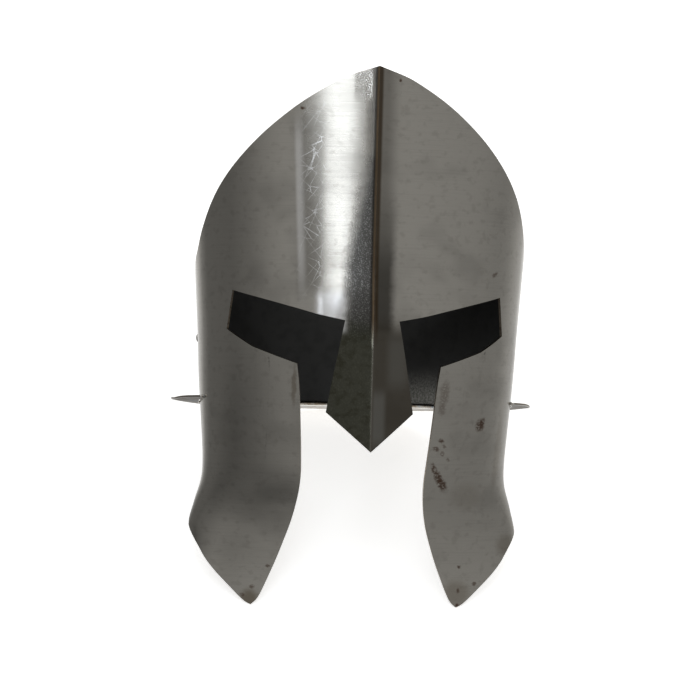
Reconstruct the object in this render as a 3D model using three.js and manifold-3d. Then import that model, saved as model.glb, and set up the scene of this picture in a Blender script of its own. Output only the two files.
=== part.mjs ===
// Plain steel helmet of the old Greek kind, made of bent sheet.
// A keeled face plate with eye slots, nasal and cheek guards stands in front of a round skull shell.
// A narrow neck guard runs round the lower edge, and one rivet on each side joins plate and skull.
//
// Millimetres, +Z up. The pieces are drawn upright, as they are worn: +X is the wearer's left,
// the face looks along -Y, and height zero is at the top of the eyes.
// The finished group is leaned back until it stands on both cheek tips and the rear of the guard.

import * as THREE from 'three';
import { mergeVertices } from 'three/addons/utils/BufferGeometryUtils.js';
import Module from 'manifold-3d';

const wasm = await Module();
wasm.setup();

// Sheet and clearances
const SHEET = 1.5;
const GAP = 0.3;

// Plan of the helmet: half ellipses in front of and behind its widest line
const FRONT_DEPTH = 77;
const REAR_DEPTH = 148;

// Body sizes by height: half width, and how far the plate stands in front of the widest line
const BODY = [
  { height: -160, halfWidth: 102.2, front: 24 },
  { height: -130, halfWidth: 102.4, front: 26 },
  { height: -112, halfWidth: 102.6, front: 30 },
  { height: -96, halfWidth: 98.9, front: 39 },
  { height: -82, halfWidth: 95.0, front: 50 },
  { height: -70, halfWidth: 94.4, front: 58 },
  { height: -50, halfWidth: 95.7, front: 66 },
  { height: -20, halfWidth: 98.1, front: 73 },
  { height: 12, halfWidth: 99.9, front: FRONT_DEPTH },
  { height: 50, halfWidth: 102.5, front: FRONT_DEPTH },
  { height: 175, halfWidth: 110.7, front: FRONT_DEPTH },
];

// Keel down the middle of the face: hollow sided on the brow, wider, deeper and flat sided on the nasal
const KEEL = {
  depth: 3.6, width: 20, nasalDepth: 9, nasalWidth: 26, power: 2, nasalPower: 1.15, crest: 0.05,
};
const KEEL_WIDENS = { from: 50, to: 0 };
const KEEL_FLATTENS = { from: 26, to: -4 };

// Arched top edge of the face plate, seen from the front
const ARCH = [
  { height: 169.2, x: 0 },
  { height: 163.2, x: 18 },
  { height: 155.4, x: 32.4 },
  { height: 146.7, x: 45.7 },
  { height: 138.1, x: 56.6 },
  { height: 129.5, x: 66.2 },
  { height: 120.9, x: 74.4 },
  { height: 112.3, x: 81.5 },
  { height: 103.6, x: 87.5 },
  { height: 94.8, x: 92.3 },
  { height: 85.9, x: 95.9 },
  { height: 76.9, x: 98.6 },
  { height: 67.9, x: 100.6 },
  { height: 58.7, x: 101.9 },
];

// Wings: the plate runs on past the widest line, over the skull shell
const WING = {
  edge: [[0, 49.6], [9, 41], [18, 31], [25, 20]],
  corner: [30, 9],
  rear: [[34.5, -10]],
  foot: 37,
};

// Heights on the arch where the centre, brow and temple of the plate meet
const ARCH_SPLIT = { centre: 161.6, temple: 97 };

// Openings of the face, seen from the front
const EYE = {
  innerTop: [16.3, 17.7],
  brow: [[32, 20.9], [46, 24.6], [64, 29.4]],
  outerTop: [81.8, 34.4],
  outerBottom: [84.4, 10.9],
  cheek: [[73, 1.9], [59.5, -5.3]],
  innerBottom: [43.4, -8.9],
};
const NASAL = { halfWidth: 26.2, corner: -37.4, tip: -60.4 };

// Cheek guards, seen from the front, and how far their rear edge lies behind the widest line
const CHEEK_INNER = [
  [41.8, -21], [40.2, -42.2], [38.6, -64], [37.8, -79], [39.1, -94.5],
  [42.4, -109.6], [47.4, -124.6], [53.4, -139.9], [59.4, -153.2],
];
const CHEEK_TIP = [63.8, -157.9];
const CHEEK_LOWER = [[68.6, -155.2], [79, -145.2], [94.4, -126.8]];
const CHEEK_CORNER = { rear: -9, height: -116.5 };
const CHEEK_REAR = [[4, -108], [7, -98], [7, -80], [10, -55]];
const CHEEK_ROOT = 14;

// Skull shell
const SKULL = {
  archInset: 3.6, sideInset: SHEET + 0.6, sides: 50, start: 6, roundTop: 0.93, power: 2.5, keelClear: 1.2,
};
const SKULL_CREST = { centre: -25, rise: 0.02, front: 50, from: 0.6 };
const SKULL_GRID = { side: 5, arch: 13, crowd: 1.5, front: 4, rear: 9 };

// Neck guard: its upper face falls gently to the rear
const NECK = { height: -34, slope: 0.02 };
const GUARD = {
  width: 19.4, rearWidth: 16, front: -14, frontRise: 3.7, level: 12, endLength: 52, endWidth: 2.6,
  endPower: 2.3, droop: -2.5, rearDroop: 2.6, clear: 0.6, sideSteps: 7, rearSteps: 19,
};

// Side rivets
const RIVET = {
  rear: 22, height: 5, headRadius: 2.6, headHeight: 1.1,
  shankRadius: 1.3, holeRadius: 1.7, tailRadius: 2.2, tailHeight: 0.8,
};

const STEEL_COLOR = 0x77746e;

// Smooth step from 0 to 1 as value goes from start to end
function ease(start, end, value) {
  const t = THREE.MathUtils.clamp((value - start) / (end - start), 0, 1);
  return t * t * (3 - 2 * t);
}

// Value of one column of a table at a height, by a smooth curve through its rows
function columnAt(rows, key, height) {
  const sorted = rows[0].height < rows[1].height ? rows : [...rows].reverse();
  const last = sorted.length - 1;
  const h = THREE.MathUtils.clamp(height, sorted[0].height, sorted[last].height);
  let i = 0;
  while (i < last - 1 && h > sorted[i + 1].height) {
    i += 1;
  }
  const slope = (j) => {
    const a = sorted[Math.max(j - 1, 0)];
    const b = sorted[Math.min(j + 1, last)];
    return (b[key] - a[key]) / (b.height - a.height);
  };
  const step = sorted[i + 1].height - sorted[i].height;
  const t = (h - sorted[i].height) / step;
  const a = sorted[i][key];
  const b = sorted[i + 1][key];
  const ta = slope(i) * step;
  const tb = slope(i + 1) * step;
  return a + ta * t + (3 * (b - a) - 2 * ta - tb) * t ** 2 + (2 * (a - b) + ta + tb) * t ** 3;
}

// Half width of the body at a height
function halfWidth(height) {
  return columnAt(BODY, 'halfWidth', height);
}

// Forward rise of the keel at a distance from the middle
function keelRise(x, height) {
  const low = ease(KEEL_WIDENS.from, KEEL_WIDENS.to, height);
  const width = THREE.MathUtils.lerp(KEEL.width, KEEL.nasalWidth, low);
  const depth = THREE.MathUtils.lerp(KEEL.depth, KEEL.nasalDepth, low);
  const flat = ease(KEEL_FLATTENS.from, KEEL_FLATTENS.to, height);
  const power = THREE.MathUtils.lerp(KEEL.power, KEEL.nasalPower, flat);
  const away = Math.hypot(x / width, KEEL.crest) - KEEL.crest;
  return depth * Math.max(0, 1 - away) ** power;
}

// Point of the plate at angle turn round the helmet, where 0 is the front and a quarter turn the side
function bodyPoint(turn, height) {
  const x = halfWidth(height) * Math.sin(turn);
  const behind = -Math.cos(turn);
  const low = ease(KEEL_WIDENS.from, KEEL_WIDENS.to, height);
  const nasal = Math.abs(x) < NASAL.halfWidth + 5 ? low : 0;
  const front = THREE.MathUtils.lerp(columnAt(BODY, 'front', height), FRONT_DEPTH, nasal);
  const y = behind < 0 ? behind * front - keelRise(x, height) : behind * REAR_DEPTH;
  return new THREE.Vector3(x, y, height);
}

// Outward normal of the plate
function bodyNormal(turn, height) {
  const d = 0.004;
  const across = bodyPoint(turn + d, height).sub(bodyPoint(turn - d, height));
  const up = bodyPoint(turn, height + 0.5).sub(bodyPoint(turn, height - 0.5));
  return across.cross(up).normalize();
}

// Angle round the helmet of a point seen from the front, or of one behind the widest line
function turnOfX(x, height) {
  return Math.asin(THREE.MathUtils.clamp(x / halfWidth(height), -1, 1));
}

function turnOfRear(y, height) {
  const depth = y < 0 ? columnAt(BODY, 'front', height) : REAR_DEPTH;
  return Math.PI / 2 + Math.asin(y / depth);
}

// A run of points on the unrolled plate, evenly spaced along a smooth curve through its points
function run(points, steps) {
  const curve = new THREE.SplineCurve(points.map(([u, v]) => new THREE.Vector2(u * 100, v)));
  return curve.getSpacedPoints(steps).map((p) => [p.x / 100, p.y]);
}

function seen(points) {
  return points.map(([x, z]) => [turnOfX(x, z), z]);
}

function behind(points) {
  return points.map(([y, z]) => [turnOfRear(y, z), z]);
}

function join(...runs) {
  return runs.reduce((all, next) => [...all, ...next.slice(all.length ? 1 : 0)], []);
}

// Grid between four edges: bottom and top run the same way, and so do left and right
function grid(bottom, top, left, right) {
  const columns = bottom.length - 1;
  const rows = left.length - 1;
  const mix = (a, b, t) => a + (b - a) * t;
  const cells = [];
  const at = (i, j) => {
    const s = i / columns;
    const t = j / rows;
    return [0, 1].map((k) => mix(bottom[i][k], top[i][k], t) + mix(left[j][k], right[j][k], s)
      - mix(mix(bottom[0][k], bottom[columns][k], s), mix(top[0][k], top[columns][k], s), t));
  };
  for (let j = 0; j < rows; j += 1) {
    for (let i = 0; i < columns; i += 1) {
      cells.push([at(i, j), at(i + 1, j), at(i + 1, j + 1), at(i, j + 1)]);
    }
  }
  return cells;
}

// Lower edge of the shells, just above the neck guard
function neckLine(y) {
  return NECK.height - NECK.slope * Math.max(y, 0);
}

// Right half of the unrolled face plate, as five grids that share their edges
function plateCells() {
  const archPoint = (height) => [turnOfX(columnAt(ARCH, 'x', height), height), height];
  const arch = (from, to, steps) => {
    const heights = Array.from({ length: 13 }, (_, i) => from + ((to - from) * i) / 12);
    return run(heights.map(archPoint), steps);
  };
  const line = (a, b, steps) => run([a, [(a[0] + b[0]) / 2, (a[1] + b[1]) / 2], b], steps);
  const [innerTop, outerTop, outerBottom, innerBottom, nasalCorner, tip] = seen([
    EYE.innerTop, EYE.outerTop, EYE.outerBottom, EYE.innerBottom,
    [NASAL.halfWidth, NASAL.corner], CHEEK_TIP]);
  const crown = [0, ARCH[0].height];
  const bridge = [0, EYE.innerTop[1]];
  const nasalTip = [0, NASAL.tip];
  const archEnd = archPoint(ARCH[ARCH.length - 1].height);
  const [wingCorner, wingFoot, cheekRoot] = behind([
    WING.corner, [WING.foot, neckLine(WING.foot) + GAP], [CHEEK_ROOT, neckLine(CHEEK_ROOT) + GAP]]);
  const cheekCorner = behind([[CHEEK_CORNER.rear, CHEEK_CORNER.height]])[0];

  const centreArch = arch(crown[1], ARCH_SPLIT.centre, 6);
  const centreSide = line(innerTop, centreArch[6], 10);
  const bridgeLine = line(bridge, innerTop, 6);
  const browArch = arch(ARCH_SPLIT.centre, ARCH_SPLIT.temple, 10);
  const browSide = line(outerTop, browArch[10], 10);
  const rootLine = line(outerBottom, cheekRoot, 6);
  const templeTop = join(
    arch(ARCH_SPLIT.temple, archEnd[1], 4),
    run([archEnd, ...behind(WING.edge), wingCorner], 6));

  const nasal = grid(line(nasalTip, nasalCorner, 6), bridgeLine,
    line(nasalTip, bridge, 6), line(nasalCorner, innerTop, 6));
  const centre = grid(bridgeLine, centreArch, line(bridge, crown, 10), centreSide);
  const brow = grid(run([innerTop, ...seen(EYE.brow), outerTop], 10), browArch, centreSide, browSide);
  const temple = grid(join(rootLine, line(cheekRoot, wingFoot, 4)), templeTop,
    join(line(outerBottom, outerTop, 3), browSide), run([wingFoot, ...behind(WING.rear), wingCorner], 13));
  const cheek = grid(
    run([tip, ...seen(CHEEK_LOWER), cheekCorner], 12),
    join(run([innerBottom, ...seen(EYE.cheek), outerBottom], 6), rootLine),
    run([tip, ...seen([...CHEEK_INNER].reverse()), innerBottom], 14),
    run([cheekCorner, ...behind(CHEEK_REAR), cheekRoot], 14));
  return [...nasal, ...centre, ...brow, ...temple, ...cheek];
}

// Closed geometry from corner positions and the faces between them
function solid(positions, faces) {
  const numbers = positions.flatMap((p) => p.toArray());
  const triangles = faces.flatMap((face) => Array.from({ length: face.length - 2 }, (_, i) => [
    face[0], face[i + 1], face[i + 2]]).flat());
  const geometry = new THREE.BufferGeometry();
  geometry.setAttribute('position', new THREE.Float32BufferAttribute(numbers, 3));
  geometry.setIndex(triangles);
  return geometry;
}

// Sheet of even thickness: cells of corners with outer and inner positions, walled along its free edges
function sheet(cells, outerAt, innerAt) {
  const index = new Map();
  const outer = [];
  const inner = [];
  const corner = (uv) => {
    const key = uv.map((value) => value.toFixed(5).replace('-0.00000', '0.00000')).join();
    if (!index.has(key)) {
      index.set(key, outer.length);
      outer.push(outerAt(...uv));
      inner.push(innerAt(...uv));
    }
    return index.get(key);
  };
  const faces = cells.map((cell) => [...new Set(cell.map(corner))]).filter((face) => face.length > 2);
  const edges = new Map();
  faces.forEach((face) => face.forEach((a, i) => {
    const b = face[(i + 1) % face.length];
    if (!edges.delete(`${b},${a}`)) {
      edges.set(`${a},${b}`, [a, b]);
    }
  }));
  const count = outer.length;
  const backs = faces.map((face) => [...face].reverse().map((i) => i + count));
  const walls = [...edges.values()].map(([a, b]) => [b, a, a + count, b + count]);
  return solid([...outer, ...inner], [...faces, ...backs, ...walls]);
}

function makeFacePlate() {
  const right = plateCells();
  const left = right.map((cell) => cell.map(([turn, height]) => [-turn, height]).reverse());
  const inside = (turn, height) => bodyPoint(turn, height).addScaledVector(bodyNormal(turn, height), -SHEET);
  return sheet([...right, ...left], bodyPoint, inside);
}

// Section of the skull shell beside the face plate, from the neck line up to the crown
function skullSection() {
  const points = [];
  for (let i = 0; i < SKULL_GRID.side; i += 1) {
    const height = THREE.MathUtils.lerp(neckLine(0) + GAP, SKULL.sides, i / SKULL_GRID.side);
    points.push([halfWidth(height) - SKULL.sideInset, height]);
  }
  const edge = ARCH.map((row) => [row.x, row.height]).reverse();
  const curve = new THREE.SplineCurve([[halfWidth(SKULL.sides), SKULL.sides], ...edge].map(
    ([x, z]) => new THREE.Vector2(x, z)));
  for (let i = 0; i <= SKULL_GRID.arch; i += 1) {
    const t = 1 - (1 - i / SKULL_GRID.arch) ** SKULL_GRID.crowd;
    const p = curve.getPointAt(t);
    const along = curve.getTangentAt(t);
    const inset = THREE.MathUtils.lerp(SKULL.sideInset, SKULL.archInset, ease(0.1, 0.7, t));
    points.push([t < 1 ? p.x - along.y * inset : 0, p.y + along.x * inset]);
  }
  return points;
}

// Skull shell: the section runs straight back, then shrinks as a quarter ellipse and rounds off
function makeSkullShell() {
  const half = skullSection();
  const section = [...half, ...half.slice(0, -1).reverse().map(([x, z]) => [-x, z])];
  const base = neckLine(0) + GAP;
  const width = half[0][0];
  const top = half[half.length - 1][1] - base;
  const depth = REAR_DEPTH - SKULL.sideInset;
  const clear = SHEET + 2.5 * GAP;
  const columns = SKULL_GRID.front + SKULL_GRID.rear;
  const startTurn = Math.asin(SKULL.start / depth);

  const outerAt = (u, v) => {
    const i = THREE.MathUtils.clamp(Math.round(u), 0, section.length - 1);
    const [x, z] = section[i];
    const across = Math.min(1, Math.abs(x) / (halfWidth(z) - clear));
    const keel = Math.max(0, keelRise(x, z) - SKULL.keelClear);
    const front = -(FRONT_DEPTH - clear) * Math.sqrt(1 - across ** 2) - keel;
    const turn = v < SKULL_GRID.front ? 0
      : THREE.MathUtils.mapLinear(v, SKULL_GRID.front, columns, startTurn, Math.PI / 2);
    const y = v < SKULL_GRID.front ? THREE.MathUtils.lerp(front, SKULL.start, v / SKULL_GRID.front)
      : depth * Math.sin(turn);
    const reach = Math.hypot(x, z - base);
    const [c, s] = [Math.abs(x) / reach, (z - base) / reach];
    const side = Math.sqrt(Math.max(0, 1 - (Math.max(y, 0) / depth) ** 2));
    const past = y - SKULL_CREST.centre;
    const swell = past < 0 ? 1 - (past / SKULL_CREST.front) ** 2 : 1;
    const fall = past < 0 ? 1 : Math.sqrt(Math.max(0, 1 - (past / (depth - SKULL_CREST.centre)) ** 2));
    const crest = (1 + SKULL_CREST.rise * Math.max(0, swell)) * fall;
    const shrink = THREE.MathUtils.lerp(side, crest, ease(SKULL_CREST.from, 1, s));
    const sum = (c / width) ** SKULL.power + (s / (top * SKULL.roundTop)) ** SKULL.power;
    const round = sum ** (-1 / SKULL.power);
    const scale = shrink * THREE.MathUtils.lerp(1, round / reach, ease(30, REAR_DEPTH, y));
    return new THREE.Vector3(x * scale, y, base + (z - base) * scale - NECK.slope * Math.max(y, 0));
  };
  const innerAt = (u, v) => {
    const p = outerAt(u, v);
    if (v === columns) {
      return p.setY(p.y - SHEET);
    }
    const rear = outerAt(u, Math.min(v + 1, columns));
    const fore = outerAt(u, Math.max(v - 1, 0));
    const normal = rear.sub(fore).cross(outerAt(u + 1, v).sub(outerAt(u - 1, v))).normalize();
    const low = u === 0 || u === section.length - 1;
    if (low || v === 0) {
      normal.setComponent(low ? 2 : 1, 0).normalize();
    }
    return p.addScaledVector(normal, -SHEET);
  };
  const cells = [];
  for (let i = 0; i < section.length - 1; i += 1) {
    for (let j = 0; j < columns; j += 1) {
      const pole = j + 1 === columns;
      const low = pole ? [0, columns] : [i, j + 1];
      const high = pole ? [0, columns] : [i + 1, j + 1];
      cells.push([[i, j], low, high, [i + 1, j]]);
    }
  }
  return sheet(cells, outerAt, innerAt);
}

// Neck guard: a flat strip round the foot of the shells, outside the cheek guards, narrower at its ends
function makeNeckGuard() {
  const stops = [GUARD.front, CHEEK_ROOT + GAP, CHEEK_ROOT + 4].map((y) => turnOfRear(y, NECK.height));
  const spread = (from, to, steps) => Array.from({ length: Math.ceil(steps) }, (_, i) => (
    from + ((to - from) * i) / steps));
  const half = [...spread(stops[0], stops[1], GUARD.sideSteps), stops[1],
    ...spread(stops[2], Math.PI, GUARD.rearSteps + 0.5)];
  const turns = [...half, ...half.map((turn) => 2 * Math.PI - turn).reverse()];
  const rings = [];
  let travelled = 0;
  let last = bodyPoint(turns[0], NECK.height);
  turns.forEach((turn) => {
    const p = bodyPoint(turn, NECK.height);
    travelled += p.distanceTo(last);
    last = p;
    rings.push({ turn, p, travelled });
  });
  const total = travelled;
  const positions = rings.flatMap(({ turn, p, travelled: s }) => {
    const out = bodyNormal(turn, NECK.height).setZ(0).normalize();
    const fromEnd = Math.min(s, total - s, GUARD.endLength) / GUARD.endLength;
    const taper = 1 - (1 - fromEnd) ** GUARD.endPower;
    const rear = ease(0, REAR_DEPTH, p.y);
    const full = THREE.MathUtils.lerp(GUARD.width, GUARD.rearWidth, rear);
    const width = THREE.MathUtils.lerp(GUARD.endWidth, full, taper);
    const under = p.y > CHEEK_ROOT + 2 * GAP;
    const hug = under ? -SKULL.sideInset - SHEET : GUARD.clear;
    const ahead = THREE.MathUtils.clamp((GUARD.level - p.y) / (GUARD.level - GUARD.front), 0, 1);
    const rise = GUARD.frontRise * ahead;
    const tilt = THREE.MathUtils.lerp(GUARD.droop, GUARD.rearDroop, rear) / full;
    const top = neckLine(p.y) + rise;
    const inner = top - Math.min(0, tilt) * hug;
    const outer = top - tilt * width;
    return [[hug, inner], [width, outer], [width, outer - SHEET], [hug, inner - SHEET]].map(
      ([away, z]) => p.clone().addScaledVector(out, away).setZ(z));
  });
  const faces = [[3, 2, 1, 0]];
  for (let i = 0; i < rings.length - 1; i += 1) {
    for (let k = 0; k < 4; k += 1) {
      const [a, b] = [4 * i + k, 4 * i + ((k + 1) % 4)];
      faces.push([a, b, b + 4, a + 4]);
    }
  }
  const end = 4 * (rings.length - 1);
  faces.push([end, end + 1, end + 2, end + 3]);
  return solid(positions, faces);
}

// Place on the wing where a rivet goes in, looking outwards along its axis
function rivetPlace(side) {
  const turn = turnOfRear(RIVET.rear, RIVET.height);
  const place = bodyPoint(turn, RIVET.height);
  const axis = bodyNormal(turn, RIVET.height);
  place.x *= side;
  axis.x *= side;
  return new THREE.Matrix4().compose(place,
    new THREE.Quaternion().setFromUnitVectors(new THREE.Vector3(0, 1, 0), axis), new THREE.Vector3(1, 1, 1));
}

// Rivet: domed head outside, shank through both sheets, flattened tail inside
function makeRivet() {
  const tail = -(SKULL.sideInset + SHEET + 2 * GAP);
  const profile = [
    [0, tail - RIVET.tailHeight], [RIVET.tailRadius, tail - RIVET.tailHeight], [RIVET.tailRadius, tail],
    [RIVET.shankRadius, tail], [RIVET.shankRadius, GAP], [RIVET.headRadius, GAP],
  ];
  for (let i = 1; i <= 3; i += 1) {
    const angle = (Math.PI / 2) * (i / 3);
    const x = i < 3 ? RIVET.headRadius * Math.cos(angle) : 0;
    profile.push([x, GAP + RIVET.headHeight * Math.sin(angle)]);
  }
  return new THREE.LatheGeometry(profile.map(([x, y]) => new THREE.Vector2(x, y)), 12);
}

// Closed geometry as a solid for cutting, and back
function toSolid(geometry) {
  const bare = geometry.clone();
  bare.deleteAttribute('normal');
  bare.deleteAttribute('uv');
  const merged = mergeVertices(bare, 1e-4);
  return new wasm.Manifold(new wasm.Mesh({
    numProp: 3,
    vertProperties: new Float32Array(merged.attributes.position.array),
    triVerts: new Uint32Array(merged.index.array),
  }));
}

function fromSolid(cut) {
  const mesh = cut.getMesh();
  const geometry = new THREE.BufferGeometry();
  geometry.setAttribute('position', new THREE.BufferAttribute(new Float32Array(mesh.vertProperties), 3));
  geometry.setIndex(new THREE.BufferAttribute(new Uint32Array(mesh.triVerts), 1));
  return geometry;
}

// Both rivet holes through one sheet
function drill(geometry) {
  return fromSolid([-1, 1].reduce((rest, side) => {
    const hole = new THREE.CylinderGeometry(RIVET.holeRadius, RIVET.holeRadius, 14, 12);
    return rest.subtract(toSolid(hole.applyMatrix4(rivetPlace(side))));
  }, toSolid(geometry)));
}

function steelMesh(name, geometry, roughness) {
  geometry.computeVertexNormals();
  const material = new THREE.MeshStandardMaterial({
    color: STEEL_COLOR, roughness, metalness: 1, flatShading: true,
  });
  const mesh = new THREE.Mesh(geometry, material);
  mesh.name = name;
  return mesh;
}

const helmet = new THREE.Group();
helmet.add(steelMesh('face_plate', drill(makeFacePlate()), 0.35));
helmet.add(steelMesh('skull_shell', drill(makeSkullShell()), 0.4));
helmet.add(steelMesh('neck_guard', makeNeckGuard(), 0.35));
[['rivet_left', -1], ['rivet_right', 1]].forEach(([name, side]) => {
  const rivet = steelMesh(name, makeRivet(), 0.35);
  rivet.applyMatrix4(rivetPlace(side));
  helmet.add(rivet);
});

// Lowest point of a piece when the helmet leans back by an angle
function lowest(mesh, lean) {
  const place = mesh.geometry.attributes.position;
  let low = Infinity;
  for (let i = 0; i < place.count; i += 1) {
    low = Math.min(low, place.getZ(i) * Math.cos(lean) - place.getY(i) * Math.sin(lean));
  }
  return low;
}

// The lean at which the cheek tips and the rear of the neck guard touch the ground together
function restingLean() {
  const [plate, , guard] = helmet.children;
  let [low, high] = [0, Math.PI / 3];
  for (let i = 0; i < 40; i += 1) {
    const lean = (low + high) / 2;
    if (lowest(plate, lean) < lowest(guard, lean)) {
      low = lean;
    } else {
      high = lean;
    }
  }
  return (low + high) / 2;
}

helmet.rotation.x = -restingLean();
const resting = new THREE.Group();
resting.add(helmet);
resting.updateMatrixWorld(true);
const bounds = new THREE.Box3().setFromObject(resting, true);
const middle = bounds.getCenter(new THREE.Vector3());
helmet.position.set(-middle.x, -middle.y, -bounds.min.z);

export default resting;
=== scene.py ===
"""Plain steel helmet of the old Greek kind, bent and welded from bare sheet.

The helmet is drawn upright, as it is worn, in millimetres: x runs across the face, y to the rear and
z up, with height zero at the top of the eyes. It is then leaned back until it stands on both cheek
tips and the rear of the neck guard, and put on the floor in metres.

The face plate is a bent sheet given by an angle round the helmet and a height. Its outline is made
of smooth curves through a few named points, and five four-sided patches fill it between them.
"""

import math

import bpy
import numpy as np
from bpy.props import FloatProperty, PointerProperty, StringProperty
from mathutils import Matrix, Vector


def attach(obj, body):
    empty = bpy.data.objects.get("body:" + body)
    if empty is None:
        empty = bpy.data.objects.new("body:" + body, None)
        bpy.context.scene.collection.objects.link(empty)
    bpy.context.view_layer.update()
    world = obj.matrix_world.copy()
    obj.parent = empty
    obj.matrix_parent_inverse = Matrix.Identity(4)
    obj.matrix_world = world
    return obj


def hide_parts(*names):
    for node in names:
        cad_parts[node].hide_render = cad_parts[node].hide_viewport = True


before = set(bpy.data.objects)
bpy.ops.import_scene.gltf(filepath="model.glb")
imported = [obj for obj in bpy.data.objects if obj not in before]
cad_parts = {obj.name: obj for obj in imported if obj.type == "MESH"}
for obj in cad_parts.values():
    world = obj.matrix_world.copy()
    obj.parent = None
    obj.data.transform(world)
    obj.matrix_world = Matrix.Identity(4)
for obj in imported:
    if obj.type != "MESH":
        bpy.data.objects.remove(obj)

bl_info = {
    "name": "Bent Steel Helmet",
    "version": (1, 0, 0),
    "blender": (4, 5, 0),
    "location": "3D View > Sidebar > Helmet",
    "description": "Builds a keeled sheet steel helmet with its welds, rivets and studio",
    "category": "Add Mesh",
}

MM = 0.001

# Lean of the standing helmet, and where its drawing's zero comes to lie on the floor, in mm
LEAN = 0.57232229
STANDING_AT = (0.0, -15.951, 123.266)

# Sizes by height: half width, and how far the plate stands in front of the widest line
BODY = {
    "height": (-160, -130, -112, -96, -82, -70, -50, -20, 12, 50, 175),
    "half_width": (102.2, 102.4, 102.6, 98.9, 95.0, 94.4, 95.7, 98.1, 99.9, 102.5, 110.7),
    "front": (24, 26, 30, 39, 50, 58, 66, 73, 77, 77, 77),
}

# Arched top edge of the face plate, seen from the front
ARCH = {
    "height": (169.2, 163.2, 155.4, 146.7, 138.1, 129.5, 120.9, 112.3, 103.6, 94.8, 85.9, 76.9, 67.9, 58.7),
    "x": (0, 18, 32.4, 45.7, 56.6, 66.2, 74.4, 81.5, 87.5, 92.3, 95.9, 98.6, 100.6, 101.9),
}
ARCH_SPLIT = {"centre": 161.6, "temple": 97.0}

# Keel: hollow sided on the brow, and where it widens and its sides go flat on the way to the nasal
KEEL_WIDENS = {"start": 50.0, "end": 0.0}
KEEL_FLATTENS = {"start": 26.0, "end": -4.0}
KEEL_SHAPE = {"power": 2.0, "nasal_power": 1.15, "crest": 0.05}

# Wings over the skull shell: distances behind the widest line, and heights
WING = {
    "edge": ((0, 49.6), (9, 41), (18, 31), (25, 20)),
    "corner": (30, 9),
    "rear": ((34.5, -10),),
    "foot": 37.0,
}

# Openings of the face, seen from the front
EYE = {
    "inner_top": (16.3, 17.7),
    "brow": ((32, 20.9), (46, 24.6), (64, 29.4)),
    "outer_top": (81.8, 34.4),
    "outer_bottom": (84.4, 10.9),
    "cheek": ((73, 1.9), (59.5, -5.3)),
    "inner_bottom": (43.4, -8.9),
}
NASAL = {"half_width": 26.2, "corner": -37.4, "tip": -60.4}

# Cheek guards, seen from the front, and how far their rear edge lies behind the widest line
CHEEK = {
    "inner": (
        (41.8, -21), (40.2, -42.2), (38.6, -64), (37.8, -79), (39.1, -94.5),
        (42.4, -109.6), (47.4, -124.6), (53.4, -139.9), (59.4, -153.2),
    ),
    "tip": (63.8, -157.9),
    "lower": ((68.6, -155.2), (79, -145.2), (94.4, -126.8)),
    "corner": (-9, -116.5),
    "rear": ((4, -108), (7, -98), (7, -80), (10, -55)),
    "root": 14.0,
}

# Skull shell: its section sits inside the plate by the insets, and rounds off to the rear
SKULL = {
    "arch_inset": 3.6, "side_inset": 2.1, "sides": 50.0, "start": 6.0, "round_top": 0.93,
    "power": 2.5, "keel_clear": 1.2, "front_clear": 2.25,
}
SKULL_CREST = {"centre": -25.0, "rise": 0.02, "front": 50.0, "start": 0.6}

# Neck guard: its upper face falls gently to the rear
NECK = {"height": -34.0, "slope": 0.02}
GUARD = {
    "front": -14.0, "front_rise": 3.7, "level": 12.0, "end_length": 52.0, "end_width": 2.6,
    "end_power": 2.3, "rear_width": 16.0, "droop": -2.5, "rear_droop": 2.6, "clear": 0.6,
}

# Side rivets: place on the wing, the gap that the sheets keep, and the shank with its flattened tail
RIVET = {
    "rear": 22.0, "height": 5.0, "gap": 0.3, "shank_radius": 1.3, "tail_radius": 2.2, "tail_height": 0.8,
}

# Weld beads: where one starts behind the arch and how far it lies in from the plate, the radius of the
# thinner beads and the tacks as a share of the full one, ripples, steps along and sides round
WELD = {
    "arch_from": 62.0, "arch_in": 1.2, "thin": 0.8, "tack": 0.6, "ripple": 2.4, "step": 0.6, "sides": 10,
}

# Finer steps than the solids: how many times each patch of the plate is divided again, and steps of
# the curve that the shell's arch is taken from
FINER = 5
ARCH_STEPS = 4000


class HelmetSizes(bpy.types.PropertyGroup):
    """Sizes of the helmet that a user would change."""

    sheet: FloatProperty(
        name="Sheet", description="Thickness of the steel sheet", default=1.5 * MM, unit="LENGTH")
    front_depth: FloatProperty(
        name="Front Depth", description="From the widest line to the face", default=77 * MM, unit="LENGTH")
    rear_depth: FloatProperty(
        name="Rear Depth", description="From the widest line to the back", default=148 * MM, unit="LENGTH")
    keel_depth: FloatProperty(
        name="Keel Depth", description="Rise of the keel on the brow", default=3.6 * MM, unit="LENGTH")
    keel_width: FloatProperty(
        name="Keel Width", description="Half width of the keel on the brow", default=20 * MM, unit="LENGTH")
    nasal_depth: FloatProperty(
        name="Nasal Depth", description="Rise of the keel on the nasal", default=9 * MM, unit="LENGTH")
    nasal_width: FloatProperty(
        name="Nasal Width", description="Keel's half width on the nasal", default=26 * MM, unit="LENGTH")
    guard_width: FloatProperty(
        name="Guard Width", description="Width beside the face", default=19.4 * MM, unit="LENGTH")
    rivet_radius: FloatProperty(
        name="Rivet Radius", description="Radius of a rivet head", default=2.6 * MM, unit="LENGTH")
    rivet_height: FloatProperty(
        name="Rivet Height", description="Height of a rivet head", default=1.1 * MM, unit="LENGTH")
    edge_radius: FloatProperty(
        name="Edge Radius", description="Rounding of the filed edges", default=0.42 * MM, unit="LENGTH")
    weld_radius: FloatProperty(
        name="Weld Radius", description="Radius of a weld bead", default=1.5 * MM, unit="LENGTH")


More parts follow.
